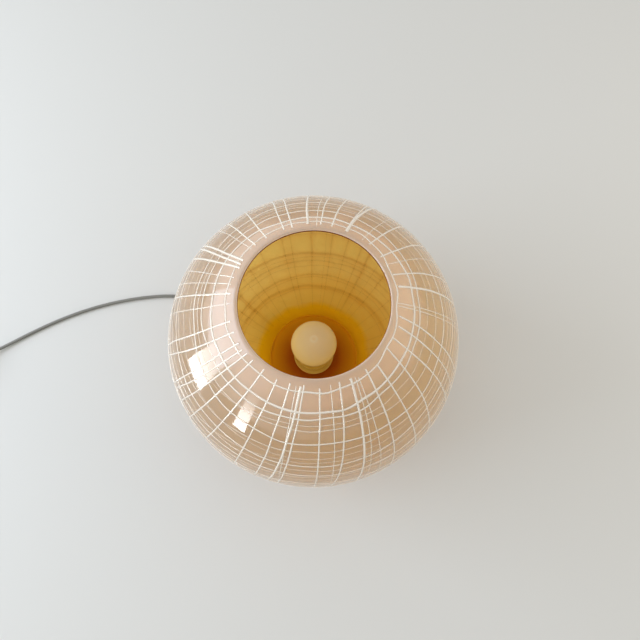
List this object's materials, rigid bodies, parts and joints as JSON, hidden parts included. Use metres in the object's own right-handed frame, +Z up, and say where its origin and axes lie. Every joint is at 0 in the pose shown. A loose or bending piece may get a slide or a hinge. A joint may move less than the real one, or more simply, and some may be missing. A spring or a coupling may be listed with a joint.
{
  "type": "table lamp",
  "caption": "Round blown-glass table lamp, open at the top, with a screw-in opal bulb inside, a steel base and a mains cord with a rocker switch and plug.",
  "frame": {"origin": "on the table under the middle of the lamp's base", "axes": "+Z up along the lamp's axis, the viewer at -Y, the cord leaving to the back left"},
  "size_m": [0.8331, 0.45, 0.3267],
  "materials": {
    "case_glass": "blown cased glass, beige outside and amber inside, glossy",
    "opal_glass": "opal white bulb glass",
    "clear_glass": "clear stem glass",
    "pan_enamel": "dark bronze stoving enamel",
    "plate_lacquer": "bronze lacquer on pressed steel",
    "zinc_steel": "zinc plated steel",
    "brass": "turned brass",
    "cap_alloy": "pressed bulb cap",
    "cap_glass": "black vitreous insulator",
    "holder_plastic": "ivory moulded resin",
    "porcelain": "glazed porcelain",
    "gasket_rubber": "black rubber",
    "felt": "pressed wool felt",
    "cord_sheath": "grey soft sheath",
    "grip_nylon": "grey nylon",
    "switch_resin": "grey moulded resin",
    "rocker_resin": "dark grey moulded resin",
    "plug_resin": "grey moulded plug",
    "sleeve_resin": "black pin sleeve",
    "live_wire": "brown wire insulation",
    "neutral_wire": "blue wire insulation",
    "filament_wire": "drawn tungsten and nickel wire",
    "tie_strap": "woven strap"
  },
  "bodies": {
    "lamp": {"glass_body": "case_glass", "felt_pad": "felt", "base_cover": "pan_enamel", "base_pan": "pan_enamel", "cover_posts": "zinc_steel", "cover_screws": "zinc_steel", "lower_gasket": "gasket_rubber", "upper_gasket": "gasket_rubber", "clamp_plate": "plate_lacquer", "threaded_tube": "zinc_steel", "tube_washer": "zinc_steel", "tube_nut": "zinc_steel", "clamp_washer": "brass", "clamp_nut": "brass", "cord_grip": "grip_nylon", "cord_grip_nut": "grip_nylon", "cord_grip_screw": "grip_nylon", "cord_tail": "cord_sheath", "live_lead": "live_wire", "neutral_lead": "neutral_wire", "holder_cap": "holder_plastic", "holder_insulator": "porcelain", "screw_shell": "brass", "centre_contact": "brass", "terminal_blocks": "brass", "terminal_screws": "zinc_steel", "holder_skirt": "holder_plastic", "shade_ring": "holder_plastic", "switch_base": "switch_resin", "switch_cover": "switch_resin", "rocker_pin": "zinc_steel", "switch_contacts": "brass", "switch_screws": "zinc_steel", "cord_lamp_lead": "cord_sheath", "cord_switch_lead": "cord_sheath", "cord_coil": "cord_sheath", "coil_tie": "tie_strap", "cord_plug_lead": "cord_sheath", "plug_body": "plug_resin", "plug_pins": "cap_alloy", "plug_sleeves": "sleeve_resin"},
    "bulb_lift": {"bulb_contact": "zinc_steel"},
    "bulb": {"bulb_globe": "opal_glass", "bulb_cap": "cap_alloy", "bulb_insulator": "cap_glass", "bulb_stem": "clear_glass", "bulb_supports": "filament_wire", "bulb_filament": "filament_wire"},
    "rocker": {"switch_rocker": "rocker_resin"}
  },
  "joints": [
    {"name": "bulb_lift", "type": "slide", "parent": "lamp", "child": "bulb_lift", "axis": [0, 0, 1], "range_m": [0, 0.0255]},
    {"name": "bulb_turn", "type": "hinge", "parent": "bulb_lift", "child": "bulb", "pos_m": [0, 0, 0.1], "axis": [0, 0, 1], "range_deg": [0, 2520]},
    {"name": "switch_rocker", "type": "hinge", "parent": "lamp", "child": "rocker", "pos_m": [-0.548, -0.052, 0.0155], "axis": [0.5878, -0.809, 0], "range_deg": [0, 16]}
  ],
  "couplings": [
    {"joint": "bulb_lift", "follows": "bulb_turn", "m_per_rad": 0.00057757}
  ]
}
